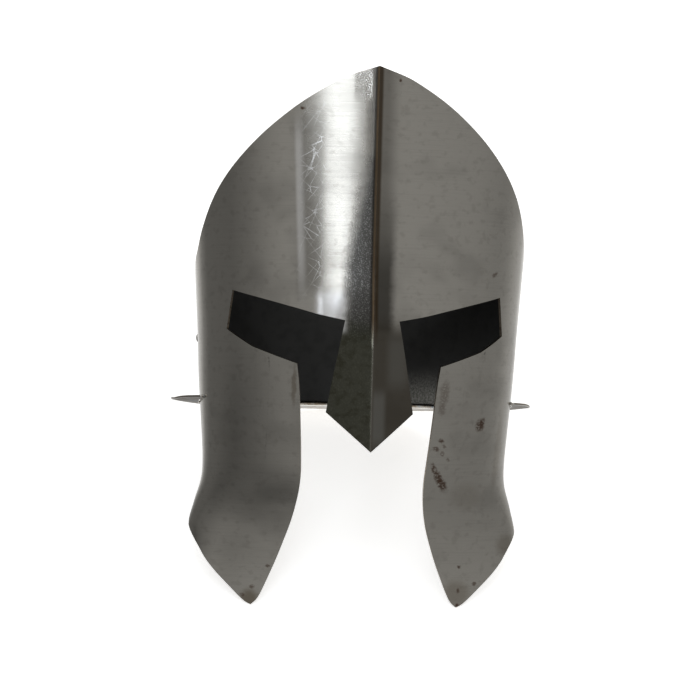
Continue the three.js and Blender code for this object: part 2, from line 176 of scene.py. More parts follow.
class HelmetStudio(bpy.types.PropertyGroup):
    """Camera and studio."""

    turn: FloatProperty(
        name="Turn", description="Camera's turn round it", default=math.radians(6.32), subtype="ANGLE")
    roll: FloatProperty(
        name="Roll", description="Camera's roll", default=math.radians(1.56), subtype="ANGLE")
    distance: FloatProperty(
        name="Distance", description="From the keel to the camera", default=1.5313, unit="LENGTH")
    across: FloatProperty(
        name="Across", description="Camera's offset to its left", default=0.01347, unit="LENGTH")
    lens: FloatProperty(
        name="Lens", description="Focal length on a 36 mm sensor, in mm", default=132.8)
    floor_colour: StringProperty(name="Floor", description="Colour of the floor", default="#f4f3f1")


class HelmetColours(bpy.types.PropertyGroup):
    """Colours as sRGB hex values."""

    steel: StringProperty(name="Steel", description="Brushed mild steel", default="#bfbbb2")
    # the inside's dark mill scale, dark partly as painted shade for the shaded inside
    scale: StringProperty(name="Scale", description="Dark mill scale inside", default="#454544")
    rust: StringProperty(name="Rust", description="Light rust stains", default="#53351f")
    heat: StringProperty(name="Heat", description="Heat tint beside welds", default="#6d5c42")


# Curves and surfaces, in millimetres, upright


def ease(start, end, value):
    """Smooth step: t squared times (3 - 2 t), where t runs from 0 at start to 1 at end."""
    t = np.clip((np.asarray(value, float) - start) / (end - start), 0.0, 1.0)
    return t * t * (3.0 - 2.0 * t)


def mix(a, b, t):
    """a where t is 0 and b where t is 1, in proportion between."""
    return a + (b - a) * t


def column_at(table, key, height):
    """Cubic Hermite curve through one column of a table; each slope is the chord of the neighbours."""
    order = np.argsort(table["height"])
    h = np.asarray(table["height"], float)[order]
    v = np.asarray(table[key], float)[order]
    before, after = np.r_[0, np.arange(len(h) - 1)], np.r_[np.arange(1, len(h)), len(h) - 1]
    slope = (v[after] - v[before]) / (h[after] - h[before])
    at = np.clip(height, h[0], h[-1])
    i = np.clip(np.searchsorted(h, at, side="left") - 1, 0, len(h) - 2)
    step = h[i + 1] - h[i]
    t = (at - h[i]) / step
    a, b, ta, tb = v[i], v[i + 1], slope[i] * step, slope[i + 1] * step
    return a + ta * t + (3 * (b - a) - 2 * ta - tb) * t**2 + (2 * (a - b) + ta + tb) * t**3


def half_width(height):
    """Half width of the body at a height, from its table."""
    return column_at(BODY, "half_width", height)


def keel_rise(size, x, height):
    """Depth times (1 - distance from the middle over width) to a power, with a rounded crest."""
    low = ease(KEEL_WIDENS["start"], KEEL_WIDENS["end"], height)
    width = mix(size.keel_width, size.nasal_width, low) / MM
    depth = mix(size.keel_depth, size.nasal_depth, low) / MM
    flat = ease(KEEL_FLATTENS["start"], KEEL_FLATTENS["end"], height)
    crest = KEEL_SHAPE["crest"]
    away = np.hypot(x / width, crest) - crest
    return depth * np.maximum(0.0, 1.0 - away) ** mix(KEEL_SHAPE["power"], KEEL_SHAPE["nasal_power"], flat)


def body_point(size, turn, height):
    """Half ellipse in front of and behind the widest line at each height, with the keel in front."""
    x = half_width(height) * np.sin(turn)
    behind = -np.cos(turn)
    low = ease(KEEL_WIDENS["start"], KEEL_WIDENS["end"], height)
    nasal = np.where(np.abs(x) < NASAL["half_width"] + 5, low, 0.0)
    front = mix(column_at(BODY, "front", height), size.front_depth / MM, nasal)
    y = np.where(behind < 0, behind * front - keel_rise(size, x, height), behind * size.rear_depth / MM)
    return np.stack(np.broadcast_arrays(x, y, np.asarray(height, float)), -1)


def unit(vectors):
    """Vectors scaled to length 1."""
    return vectors / np.maximum(np.linalg.norm(vectors, axis=-1, keepdims=True), 1e-9)


def body_normal(size, turn, height):
    """Cross product of the small steps round and up the body."""
    d = 0.004
    round_it = body_point(size, turn + d, height) - body_point(size, turn - d, height)
    up = body_point(size, turn, height + 0.5) - body_point(size, turn, height - 0.5)
    return unit(np.cross(round_it, up))


def turn_of_x(x, height):
    """Angle round the body of a point seen from the front: arcsine of x over the half width."""
    return np.arcsin(np.clip(x / half_width(height), -1, 1))


def turn_of_rear(size, y, height):
    """Angle round the body of a point at a distance behind the widest line."""
    depth = np.where(np.asarray(y) < 0, column_at(BODY, "front", height), size.rear_depth / MM)
    return np.pi / 2 + np.arcsin(y / depth)


def spline(points, steps):
    """Catmull-Rom curve through points, cut into steps of equal length."""
    p = np.asarray(points, float)
    padded = np.concatenate([p[:1], p, p[-1:]])
    last = len(p) - 1

    def at(t):
        along = t * last
        i = np.minimum(along.astype(int), last - 1)
        w = (along - i)[:, None]
        p0, p1, p2, p3 = padded[i], padded[i + 1], padded[i + 2], padded[i + 3]
        a, b = (p2 - p0) * 0.5, (p3 - p1) * 0.5
        return (2 * p1 - 2 * p2 + a + b) * w**3 + (-3 * p1 + 3 * p2 - 2 * a - b) * w**2 + a * w + p1

    fine = np.linspace(0, 1, 201)
    length = np.r_[0, np.cumsum(np.linalg.norm(np.diff(at(fine), axis=0), axis=1))]
    return at(np.interp(np.linspace(0, 1, steps + 1) * length[-1], length, fine))


def run(points, steps):
    """Spline on the unrolled plate, where an angle of 1 counts as 100 mm."""
    unrolled = np.asarray(points, float) * (100.0, 1.0)
    return spline(unrolled, steps) / (100.0, 1.0)


def line(a, b, steps):
    """Straight run between two points of the unrolled plate."""
    a, b = np.asarray(a, float), np.asarray(b, float)
    return run([a, (a + b) / 2, b], steps)


def join(*runs):
    """Runs end to end, with each shared point kept once."""
    return np.concatenate([runs[0], *(r[1:] for r in runs[1:])])


def coons(bottom, top, left, right):
    """Patch between four edges: both pairs of edges mixed, less the mix of the four corners."""
    s = np.linspace(0, 1, len(bottom))[None, :, None]
    t = np.linspace(0, 1, len(left))[:, None, None]
    across = mix(bottom[None], top[None], t) + mix(left[:, None], right[:, None], s)
    return across - mix(mix(bottom[0], bottom[-1], s), mix(top[0], top[-1], s), t)


def neck_line(y):
    """Height of the lower edge of the shells, which falls a little behind the widest line."""
    return NECK["height"] - NECK["slope"] * np.maximum(y, 0.0)


def plate_patches(size):
    """The five patches of the right half of the unrolled face plate."""
    f = FINER
    gap = RIVET["gap"]

    def arch_point(height):
        return np.stack([turn_of_x(column_at(ARCH, "x", height), height), height], -1)

    def arch(start, end, steps):
        return run(arch_point(np.linspace(start, end, 13)), steps)

    def seen(points):
        p = np.asarray(points, float).reshape(-1, 2)
        return np.stack([turn_of_x(p[:, 0], p[:, 1]), p[:, 1]], -1)

    def behind(points):
        p = np.asarray(points, float).reshape(-1, 2)
        return np.stack([turn_of_rear(size, p[:, 0], p[:, 1]), p[:, 1]], -1)

    inner_top, outer_top, outer_bottom, inner_bottom, nasal_corner, tip = seen([
        EYE["inner_top"], EYE["outer_top"], EYE["outer_bottom"], EYE["inner_bottom"],
        (NASAL["half_width"], NASAL["corner"]), CHEEK["tip"]])
    crown = np.array([0.0, ARCH["height"][0]])
    bridge = np.array([0.0, EYE["inner_top"][1]])
    nasal_tip = np.array([0.0, NASAL["tip"]])
    arch_end = arch_point(np.array([ARCH["height"][-1]]))[0]
    wing_corner, wing_foot, cheek_root = behind([
        WING["corner"], (WING["foot"], neck_line(WING["foot"]) + gap),
        (CHEEK["root"], neck_line(CHEEK["root"]) + gap)])
    cheek_corner = behind(CHEEK["corner"])[0]

    centre_arch = arch(crown[1], ARCH_SPLIT["centre"], 6 * f)
    centre_side = line(inner_top, centre_arch[-1], 10 * f)
    bridge_line = line(bridge, inner_top, 6 * f)
    brow_arch = arch(ARCH_SPLIT["centre"], ARCH_SPLIT["temple"], 10 * f)
    brow_side = line(outer_top, brow_arch[-1], 10 * f)
    root_line = line(outer_bottom, cheek_root, 6 * f)
    wing_edge = run([arch_end, *behind(WING["edge"]), wing_corner], 6 * f)
    temple_top = join(arch(ARCH_SPLIT["temple"], arch_end[1], 4 * f), wing_edge)
    brow_edge = run([inner_top, *seen(EYE["brow"]), outer_top], 10 * f)
    cheek_edge = run([inner_bottom, *seen(EYE["cheek"]), outer_bottom], 6 * f)
    return [
        coons(line(nasal_tip, nasal_corner, 6 * f), bridge_line,
              line(nasal_tip, bridge, 6 * f), line(nasal_corner, inner_top, 6 * f)),
        coons(bridge_line, centre_arch, line(bridge, crown, 10 * f), centre_side),
        coons(brow_edge, brow_arch, centre_side, brow_side),
        coons(join(root_line, line(cheek_root, wing_foot, 4 * f)), temple_top,
              join(line(outer_bottom, outer_top, 3 * f), brow_side),
              run([wing_foot, *behind(WING["rear"]), wing_corner], 13 * f)),
        coons(run([tip, *seen(CHEEK["lower"]), cheek_corner], 12 * f), join(cheek_edge, root_line),
              run([tip, *seen(CHEEK["inner"][::-1]), inner_bottom], 14 * f),
              run([cheek_corner, *behind(CHEEK["rear"]), cheek_root], 14 * f)),
    ]


def grid_quads(rows, columns):
    """Corner numbers of the cells of a grid whose points are numbered row by row."""
    first = (np.arange(rows - 1)[:, None] * columns + np.arange(columns - 1)[None, :]).ravel()
    return np.stack([first, first + 1, first + columns + 1, first + columns], -1)


def weld(points, quads):
    """Points that coincide within a ten-thousandth become one, and cells are renumbered."""
    rounded = np.round(points * 1e4 + 0.37).astype(np.int64)
    _, first, back = np.unique(rounded, axis=0, return_index=True, return_inverse=True)
    return points[first], back.ravel()[quads]


def free_edges(quads):
    """Directed edges of the cells that no neighbouring cell shares."""
    a, b = quads.ravel(), np.roll(quads, -1, axis=1).ravel()
    differ = a != b
    a, b = a[differ], b[differ]
    size = int(quads.max()) + 1
    alone = ~np.isin(a * size + b, b * size + a)
    return a[alone], b[alone]


def thicken(outer, inner, quads):
    """Closed sheet: outer cells, inner cells turned over, and a wall along each free edge."""
    count = len(outer)
    a, b = free_edges(quads)
    walls = np.stack([b, a, a + count, b + count], -1)
    faces = np.concatenate([quads, quads[:, ::-1] + count, walls])
    kind = np.repeat([0, 1, 2], [len(quads), len(quads), len(walls)])
    return np.concatenate([outer, inner]), faces, kind


def standing(points):
    """Upright millimetres turned back by the lean and set on the floor, in metres."""
    c, s = math.cos(LEAN), math.sin(LEAN)
    x, y, z = np.moveaxis(np.asarray(points, float), -1, 0)
    leaned = np.stack([x, y * c + z * s, -y * s + z * c], -1)
    return (leaned + STANDING_AT) * MM


def leaned(vectors):
    """Upright directions turned back by the lean."""
    return (standing(vectors) - standing(np.zeros(3))) / MM


# Mesh and node helpers


def linear(hex_colour):
    """sRGB hex to linear: c / 12.92 below 0.04045, else ((c + 0.055) / 1.055) to the power 2.4."""
    c = [int(hex_colour[i:i + 2], 16) / 255 for i in (1, 3, 5)]
    return (*(v / 12.92 if v <= 0.04045 else ((v + 0.055) / 1.055) ** 2.4 for v in c), 1.0)


def make_piece(name, points, faces, materials, replaces=(), kind=None):
    """Mesh object from upright points and faces; repeated corners of a face are dropped."""
    rows = [list(dict.fromkeys(face)) for face in np.asarray(faces).tolist()]
    keep = [i for i, row in enumerate(rows) if len(row) > 2]
    mesh = bpy.data.meshes.new(name)
    mesh.from_pydata(standing(points).tolist(), [], [rows[i] for i in keep])
    for material in materials:
        mesh.materials.append(material)
    if kind is not None:
        mesh.polygons.foreach_set("material_index", np.asarray(kind)[keep].astype(np.int32))
    mesh.polygons.foreach_set("use_smooth", np.ones(len(keep), bool))
    mesh.validate()
    piece = bpy.data.objects.new(name, mesh)
    bpy.context.scene.collection.objects.link(piece)
    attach(piece, "root")
    if replaces:
        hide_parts(*replaces)
    return piece


def round_edges(piece, width):
    """Bevel, in the piece's last material, on the edges that turn by more than 50 degrees."""
    bevel = piece.modifiers.new("rounded edges", "BEVEL")
    bevel.width = width
    bevel.segments = 2
    bevel.limit_method = "ANGLE"
    bevel.angle_limit = math.radians(50.0)
    bevel.harden_normals = True
    bevel.material = len(piece.data.materials) - 1


def add_node(tree, kind, inputs=None, **settings):
    """Adds a node, sets its properties, and sets or links its inputs by name or number."""
    node = tree.nodes.new(kind)
    for key, value in settings.items():
        setattr(node, key, value)
    for key, value in (inputs or {}).items():
        if isinstance(value, bpy.types.NodeSocket):
            tree.links.new(value, node.inputs[key])
        else:
            node.inputs[key].default_value = value
    return node


def new_material(name):
    """Empty node material with its output and shader."""
    material = bpy.data.materials.new(name)
    material.use_nodes = True
    tree = material.node_tree
    tree.nodes.clear()
    shader = add_node(tree, "ShaderNodeBsdfPrincipled")
    add_node(tree, "ShaderNodeOutputMaterial", {"Surface": shader.outputs[0]})
    return material, tree, shader


def upright_coordinates(tree):
    """Object coordinates turned back upright, in millimetres."""
    place = add_node(tree, "ShaderNodeTexCoord").outputs["Object"]
    c, s = math.cos(LEAN), math.sin(LEAN)
    _, y, z = STANDING_AT
    return add_node(
        tree, "ShaderNodeMapping",
        {"Vector": place, "Location": (0, -(y * c - z * s), -(y * s + z * c)),
         "Rotation": (LEAN, 0, 0), "Scale": (1000, 1000, 1000)}).outputs[0]


def band(tree, value, start, full, fade=None, end=None):
    """0 up to start and 1 from full on, smooth between, or the other way round where full is lower.

    Where fade and end are given too, it falls to 0 again between them."""
    slopes = [(start, full)] if end is None else [(start, full), (end, fade)]
    return both(tree, *(
        add_node(tree, "ShaderNodeMapRange", {"Value": value, "From Min": nothing, "From Max": whole},
                 interpolation_type="SMOOTHSTEP").outputs[0]
        for nothing, whole in slopes))


def both(tree, *masks):
    """Product of masks, which is 1 only where all are."""
    result = masks[0]
    for mask in masks[1:]:
        result = add_node(tree, "ShaderNodeMath", {0: result, 1: mask}, operation="MULTIPLY").outputs[0]
    return result


def pattern(tree, place, spacing, detail):
    """Noise whose patches are about as long as the spacing along each axis, in millimetres."""
    scaled = add_node(tree, "ShaderNodeMapping", {"Vector": place, "Scale": [1 / s for s in spacing]})
    return add_node(tree, "ShaderNodeTexNoise", {
        "Vector": scaled.outputs[0], "Scale": 1.0, "Detail": detail}).outputs[0]


def scratches(tree, place, turn, length, spacing):
    """Long thin borders of stretched cells, turned in the plane of the face."""
    turned = add_node(tree, "ShaderNodeMapping", {"Vector": place, "Rotation": (0, math.radians(turn), 0)})
    scaled = add_node(tree, "ShaderNodeMapping", {
        "Vector": turned.outputs[0], "Scale": (1 / length, 0.01, 1 / spacing)})
    cells = add_node(tree, "ShaderNodeTexVoronoi", {
        "Vector": scaled.outputs[0], "Scale": 1.0, "Randomness": 1.0}, feature="DISTANCE_TO_EDGE")
    return band(tree, cells.outputs[0], 0.02, 0.004)


def paint(tree, colour, mask, hex_colour, share):
    """Mixes a colour over the one below, by a mask times a share."""
    weight = add_node(tree, "ShaderNodeMath", {0: mask, 1: share}, operation="MULTIPLY").outputs[0]
    blend = add_node(tree, "ShaderNodeMix", {0: weight, 6: colour, 7: linear(hex_colour)}, data_type="RGBA")
    return blend.outputs[2]


def stain(tree, place, x, z, wide, high, turn):
    """Soft spot: 1 at its middle and 0 past its half width and half height."""
    local = add_node(tree, "ShaderNodeMapping", {
        "Vector": place, "Location": (x, 0, z), "Rotation": (0, math.radians(turn), 0),
        "Scale": (wide, 1e5, high)}, vector_type="TEXTURE")
    reach = add_node(tree, "ShaderNodeVectorMath", {0: local.outputs[0]}, operation="LENGTH")
    return band(tree, reach.outputs["Value"], 1.0, 0.35)


def brushed_steel(colours, marked=False):
    """Mild steel sheet, cold bent and brushed with an abrasive wheel.

    Fine level lines from the wheel, soft blotches where it pressed, and light rust where it was
    touched. Over the ridge, painted shade darkens the keel where it mirrors the dark room, with bright
    grains, and painted highlights run down the left of the face."""
    name = "mild steel, brushed and marked" if marked else "mild steel, brushed"
    if name in bpy.data.materials:
        return bpy.data.materials[name]
    material, tree, shader = new_material(name)
    place = upright_coordinates(tree)

    # wheel lines 0.7 mm apart, blotches 30 mm wide, mottling 5 mm wide
    lines = pattern(tree, place, (30, 30, 0.7), 3)
    blotches = pattern(tree, place, (34, 34, 26), 2)
    mottle = pattern(tree, place, (5, 5, 4), 4)
    colour = paint(tree, linear(colours.steel), band(tree, blotches, 0.5, 0.75), "#8d8a83", 0.35)
    colour = paint(tree, colour, band(tree, mottle, 0.52, 0.7), "#8c877e", 0.22)
    colour = paint(tree, colour, band(tree, lines, 0.48, 0.7), "#94908a", 0.12)
    rough = 0.09
    for part, amount in ((blotches, 0.12), (lines, 0.05)):
        rough = add_node(
            tree, "ShaderNodeMath", {0: part, 1: amount, 2: rough}, operation="MULTIPLY_ADD").outputs[0]
    # relief in millimetres: 0.003 for the wheel's lines
    relief = add_node(tree, "ShaderNodeMath", {0: lines, 1: 0.003}, operation="MULTIPLY").outputs[0]
    if marked:
        colour, rough, relief = ridge_marks(tree, place, colour, rough, relief, mottle)
        colour = face_marks(tree, place, colour, colours)
    bump = add_node(tree, "ShaderNodeBump", {"Height": relief, "Strength": 1.0, "Distance": MM})
    tree.links.new(colour, shader.inputs["Base Color"])
    tree.links.new(rough, shader.inputs["Roughness"])
    tree.links.new(bump.outputs[0], shader.inputs["Normal"])
    shader.inputs["Metallic"].default_value = 1.0
    return material


def ridge_marks(tree, place, colour, rough, relief, mottle):
    """Marks round the ridge, with left and right as seen from the front.

    Painted shade darkens the keel's flanks where they mirror the dark room: dark grey with bright grains
    left of the ridge, and a dark brown-grey right of it. A painted dark line of shade runs along the crest,
    beside a brown line that is widened over the crest's highlight as painted shade. The nasal kept its
    scale. Left of the bright strip are scratches, a painted highlight along a soft crease, and a painted
    highlight that carries the strip further down."""
    axes = add_node(tree, "ShaderNodeSeparateXYZ", {0: place})
    x, z = axes.outputs[0], axes.outputs[2]
    edge = add_node(tree, "ShaderNodeMath", {0: mottle, 1: 3.0, 2: -1.5}, operation="MULTIPLY_ADD")
    ragged = add_node(tree, "ShaderNodeMath", {0: x, 1: edge.outputs[0]}, operation="ADD").outputs[0]
    leaning = add_node(tree, "ShaderNodeMath", {0: z, 1: 0.05, 2: x}, operation="MULTIPLY_ADD").outputs[0]
    # the painted shade left of the ridge (scale) is a wedge that widens on its way down
    wedge = add_node(tree, "ShaderNodeMapRange", {
        "Value": z, "From Min": 120.0, "From Max": 50.0, "To Min": -3.0, "To Max": 10.0})
    wedged = add_node(tree, "ShaderNodeMath", {0: ragged, 1: wedge.outputs[0]}, operation="ADD").outputs[0]
    grain = pattern(tree, place, (0.65, 0.65, 0.75), 1)
    speck = band(tree, grain, 0.54, 0.66)

    # places across the face, then places up it, in millimetres
    # scale is painted shade: a dark band for the dark room that the keel's left flank mirrors
    scale = both(
        tree, band(tree, wedged, -11, -1), band(tree, x, -22, -21, -1.6, -0.6), band(tree, z, 0, 12))
    # painted shade on the keel's right flank, for the dark room it mirrors: a darker band, and a lighter one
    # (beside) higher up
    right_flank_painted_shade = both(tree, band(tree, ragged, -1, 2, 8.5, 15), band(tree, z, 5, 14, 44, 105))
    beside = both(tree, band(tree, x, -1, 1, 5, 15), band(tree, z, 40, 90))
    nasal = both(tree, band(tree, x, -30, -29, 29, 30), band(tree, z, -70, -69, 6, 24))
    olive = both(tree, nasal, band(tree, x, 0.4, -0.8))
    brown = both(tree, nasal, band(tree, x, -0.8, 0.4))
    pale = both(tree, band(tree, x, 6, 13, 18, 26), band(tree, z, -28, -14, 2, 14))
    worn = both(tree, band(tree, x, -0.5, 2, 6, 10), band(tree, z, -62, -50, -30, -20))
    # painted shade: a dark line laid over the crest's highlight; right of it a brown line, also widened over
    # that highlight as painted shade
    crest = both(tree, band(tree, x, -3.2, -1.4, -0.6, 0.6), band(tree, z, 0, 20))
    crest_brown_and_painted_shade = both(tree, band(tree, x, -1.6, -0.6, 1.6, 3.4), band(tree, z, 0, 20))
    filed_spot = both(tree, band(tree, x, -15, -10, -6, -3.5), band(tree, z, 147, 153, 162, 172))
    scratched = both(tree, band(tree, ragged, -47, -43, -34, -28), band(tree, z, 28, 40, 130, 152))
    # painted highlight: a near-white line where a crease would catch the soft box; the sheet's shape has no
    # crease here
    painted_crease_highlight = both(tree, band(tree, leaning, -43.4, -40.9, -40.3, -36.2), band(tree, z, 20, 60, 118, 146))
    # painted highlight: near white, carrying the soft box's bright strip further down the face
    painted_strip_highlight = both(tree, band(tree, ragged, -36, -31, -19, -14), band(tree, z, 8, 14, 27, 38))
    coarse = both(tree, band(tree, x, -50, -40, -9, -3), band(tree, z, 40, 130))

    # scratches come and go in patches 9 to 14 mm long
    broken = both(tree, scratched, band(tree, pattern(tree, place, (9, 9, 14), 2), 0.38, 0.54))
    steep = both(tree, broken, scratches(tree, place, 58, 26, 5))
    gentle = both(tree, broken, scratches(tree, place, -35, 20, 6))

    # painted shade (scale, the right flank, beside, crest) and painted highlights (crease, strip) are mixed
    # in here with the real marks
    for mask, hex_colour, share in (
            (scale, "#434240", 0.9), (both(tree, scale, speck), "#c9c7c2", 0.3),
            (right_flank_painted_shade, "#46433d", 0.88), (beside, "#5f5b54", 0.5),
            (olive, "#434438", 0.93), (both(tree, olive, speck), "#77776a", 0.35),
            (both(tree, olive, band(tree, mottle, 0.45, 0.7)), "#33301f", 0.4),
            (brown, "#4a443a", 0.9), (pale, "#85847e", 0.4), (worn, "#85847e", 0.6),
            (crest, "#241f19", 0.86), (crest_brown_and_painted_shade, "#463724", 0.85),
            (both(tree, filed_spot, speck), "#f6f4f0", 0.8),
            (scratched, "#6b6861", 0.42), (steep, "#f0efec", 0.75), (gentle, "#f0efec", 0.75),
            (painted_crease_highlight, "#f4f2ee", 0.62), (painted_strip_highlight, "#fbfaf8", 0.9)):
        colour = paint(tree, colour, mask, hex_colour, share)

    # the bright strip is ground coarser towards its top
    for mask, amount in ((coarse, 0.1), (scale, 0.12), (crest, 0.25)):
        rough = add_node(
            tree, "ShaderNodeMath", {0: mask, 1: amount, 2: rough}, operation="MULTIPLY_ADD").outputs[0]
    # grains stand up to 0.12 mm high on the painted-shade band left of the ridge and 0.3 mm on the filed
    # spot
    for mask, height in ((scale, 0.12), (filed_spot, 0.3)):
        grains = both(tree, grain, mask)
        relief = add_node(
            tree, "ShaderNodeMath", {0: grains, 1: height, 2: relief}, operation="MULTIPLY_ADD").outputs[0]
    return colour, rough, relief


# Marks on the face: x, z, half width, half height, turn in degrees, share
RUST = (
    (71.7, -44.0, 2.6, 3.4, 20, 0.85), (73.2, -41.6, 1.2, 2.6, 40, 0.6), (46.8, -24.5, 2.6, 6.5, 5, 0.4),
    (45.5, -34.5, 2.2, 3.4, 0, 0.35), (46.3, -53.5, 1.5, 1.3, 0, 0.8), (43.2, -58.6, 2.2, 1.2, 20, 0.7),
    (48.6, -57.0, 1.2, 1.2, 0, 0.5), (47.5, -61.5, 1.3, 1.2, 0, 0.55), (51.9, -65.0, 0.9, 0.9, 0, 0.5),
    (43.0, -70.6, 1.5, 3.4, -25, 0.75), (46.5, -76.5, 2.0, 4.4, -30, 0.85),
    (49.8, -81.4, 2.2, 3.2, -25, 0.85), (65.1, -132.5, 1.0, 0.9, 0, 0.8), (75.1, -143.0, 1.3, 1.2, 0, 0.7),
    (65.1, -147.5, 0.9, 0.9, 0, 0.7), (64.7, -156.5, 1.4, 1.2, 0, 0.9), (-53.9, -134.0, 1.1, 1.0, 0, 0.7),
    (-69.1, -152.0, 1.1, 1.0, 0, 0.6), (-63.3, -147.0, 1.3, 1.1, 0, 0.6), (77.5, 48.0, 1.0, 2.0, 40, 0.6),
    (12.9, 161.6, 0.9, 0.8, 0, 0.9), (-44.6, 143.6, 1.2, 0.8, 0, 0.9),
)
TINTS = (
    (95.2, -119.0, 9, 9, 0, 0.3), (63.7, -149.0, 12, 11, 0, 0.35), (-64.7, -155.0, 8, 9, 0, 0.6),
    (-44.6, -22.0, 2.0, 16, 0, 0.45), (66.0, -88.0, 15, 12, 0, 0.16), (86.0, -60.0, 3.5, 34, 4, 0.2),
)

# Rust fades out this many times past its own half sizes
RUST_SPREAD = 1.6


def face_marks(tree, place, colour, colours):
    """Rust spots and heat tints at their places on the face plate, with rims ragged by 1.3 mm."""
    closer = add_node(tree, "ShaderNodeMapping", {"Vector": place, "Scale": (0.3, 0.3, 0.45)})
    wobble = add_node(tree, "ShaderNodeTexNoise", {"Vector": closer.outputs[0], "Scale": 1.0, "Detail": 3.0})
    centred = add_node(
        tree, "ShaderNodeVectorMath", {0: wobble.outputs[1], 1: (0.5, 0.5, 0.5)}, operation="SUBTRACT")
    ragged = add_node(tree, "ShaderNodeVectorMath", {0: centred.outputs[0], "Scale": 2.6}, operation="SCALE")
    moved = add_node(
        tree, "ShaderNodeVectorMath", {0: place, 1: ragged.outputs[0]}, operation="ADD").outputs[0]
    for x, z, wide, high, turn, share in TINTS:
        colour = paint(tree, colour, stain(tree, moved, x, z, wide, high, turn), colours.heat, share)
    pits = band(tree, pattern(tree, place, (1.4, 1.4, 0.9), 3), 0.3, 0.52)
    for x, z, wide, high, turn, share in RUST:
        spot = stain(tree, moved, x, z, wide * RUST_SPREAD, high * RUST_SPREAD, turn)
        colour = paint(tree, colour, both(tree, pits, spot), colours.rust, share)
    return colour


def scaled_steel(colours):
    """Mild steel left as rolled inside: mill scale, dull and mottled, dark partly as painted shade for
    the shaded inside, with a painted reflection of the pale floor, light and grainy, near the foot.
    """
    name = "mild steel, mill scale"
    if name in bpy.data.materials:
        return bpy.data.materials[name]
    material, tree, shader = new_material(name)
    place = upright_coordinates(tree)
    axes = add_node(tree, "ShaderNodeSeparateXYZ", {0: place})
    mottle = pattern(tree, place, (9, 9, 7), 4)
    grain = band(tree, pattern(tree, place, (1.2, 1.2, 1.2), 2), 0.3, 0.7)
    # foot is a painted reflection: the light, grainy patch where the low inside on the right mirrors the
    # pale floor
    foot = both(tree, band(tree, axes.outputs[2], -80, -70, -32, -8), band(tree, axes.outputs[0], 2, 24))
    # dark mill scale, mottled; its darkness is partly painted shade for the shaded inside
    colour = paint(tree, linear(colours.scale), band(tree, mottle, 0.45, 0.7), "#333433", 0.4)
    colour = paint(tree, colour, foot, "#77766f", 0.6)
    colour = paint(tree, colour, both(tree, foot, grain), "#b5b4ae", 0.5)
    tree.links.new(colour, shader.inputs["Base Color"])
    shader.inputs["Metallic"].default_value = 0.9
    shader.inputs["Roughness"].default_value = 0.5
    return material


def filed_steel():
    """Cut edges of the sheet, filed and then browned by a thin film of rust."""
    name = "mild steel, filed edge"
    if name in bpy.data.materials:
        return bpy.data.materials[name]
    material, tree, shader = new_material(name)
    place = upright_coordinates(tree)
    strokes = pattern(tree, place, (1.2, 1.2, 1.2), 3)
    colour = paint(tree, linear("#9a8f7f"), band(tree, strokes, 0.45, 0.65), "#4d3f30", 0.7)
    tree.links.new(colour, shader.inputs["Base Color"])
    shader.inputs["Metallic"].default_value = 1.0
    shader.inputs["Roughness"].default_value = 0.38
    return material


def rubbed_steel():
    """Broken corners of the sheet, rubbed bright with a fine stone."""
    name = "mild steel, corner rubbed bright"
    if name in bpy.data.materials:
        return bpy.data.materials[name]
    material, _, shader = new_material(name)
    shader.inputs["Base Color"].default_value = linear("#e4e0d8")
    shader.inputs["Metallic"].default_value = 1.0
    shader.inputs["Roughness"].default_value = 0.28
    return material


def welded_steel():
    """Weld beads laid by hand and the sheet beside them: a little dull, with brown and blue heat colours."""
    name = "mild steel, weld bead"
    if name in bpy.data.materials:
        return bpy.data.materials[name]
    material, tree, shader = new_material(name)
    place = upright_coordinates(tree)
    patches = pattern(tree, place, (6, 6, 6), 3)
    colour = paint(tree, linear("#8f8b84"), band(tree, patches, 0.4, 0.6), "#6a5b46", 0.7)
    colour = paint(tree, colour, band(tree, patches, 0.42, 0.3), "#6d7883", 0.7)
    tree.links.new(colour, shader.inputs["Base Color"])
    shader.inputs["Metallic"].default_value = 1.0
    shader.inputs["Roughness"].default_value = 0.42
    return material


def sheet_materials(colours, marked=False):
    """Outer face, inner face, cut edge and broken corner of a sheet, in the order that thicken() numbers."""
    return brushed_steel(colours, marked), scaled_steel(colours), filed_steel(), rubbed_steel()


# Pieces


class HELMET_OT_face_plate(bpy.types.Operator):
    """Face plate: five patches on each side, thickened inwards, with filed edges"""

    bl_idname = "helmet.face_plate"
    bl_label = "Face Plate"

    def execute(self, context):
        size = context.scene.helmet_sizes
        colours = context.scene.helmet_colours
        points, quads, count = [], [], 0
        for patch in plate_patches(size):
            rows, columns = patch.shape[:2]
            cells = grid_quads(rows, columns)
            for side in (1.0, -1.0):
                points.append(patch.reshape(-1, 2) * (side, 1.0))
                quads.append((cells if side > 0 else cells[:, ::-1]) + count)
                count += rows * columns
        flat, cells = weld(np.concatenate(points), np.concatenate(quads))
        outer = body_point(size, flat[:, 0], flat[:, 1])
        inner = outer - body_normal(size, flat[:, 0], flat[:, 1]) * size.sheet / MM
        solid, faces, kind = thicken(outer, inner, cells)
        piece = make_piece("face_plate_bent", solid, faces, sheet_materials(colours, marked=True),
                           ("face_plate",), kind)
        round_edges(piece, size.edge_radius)
        return {"FINISHED"}


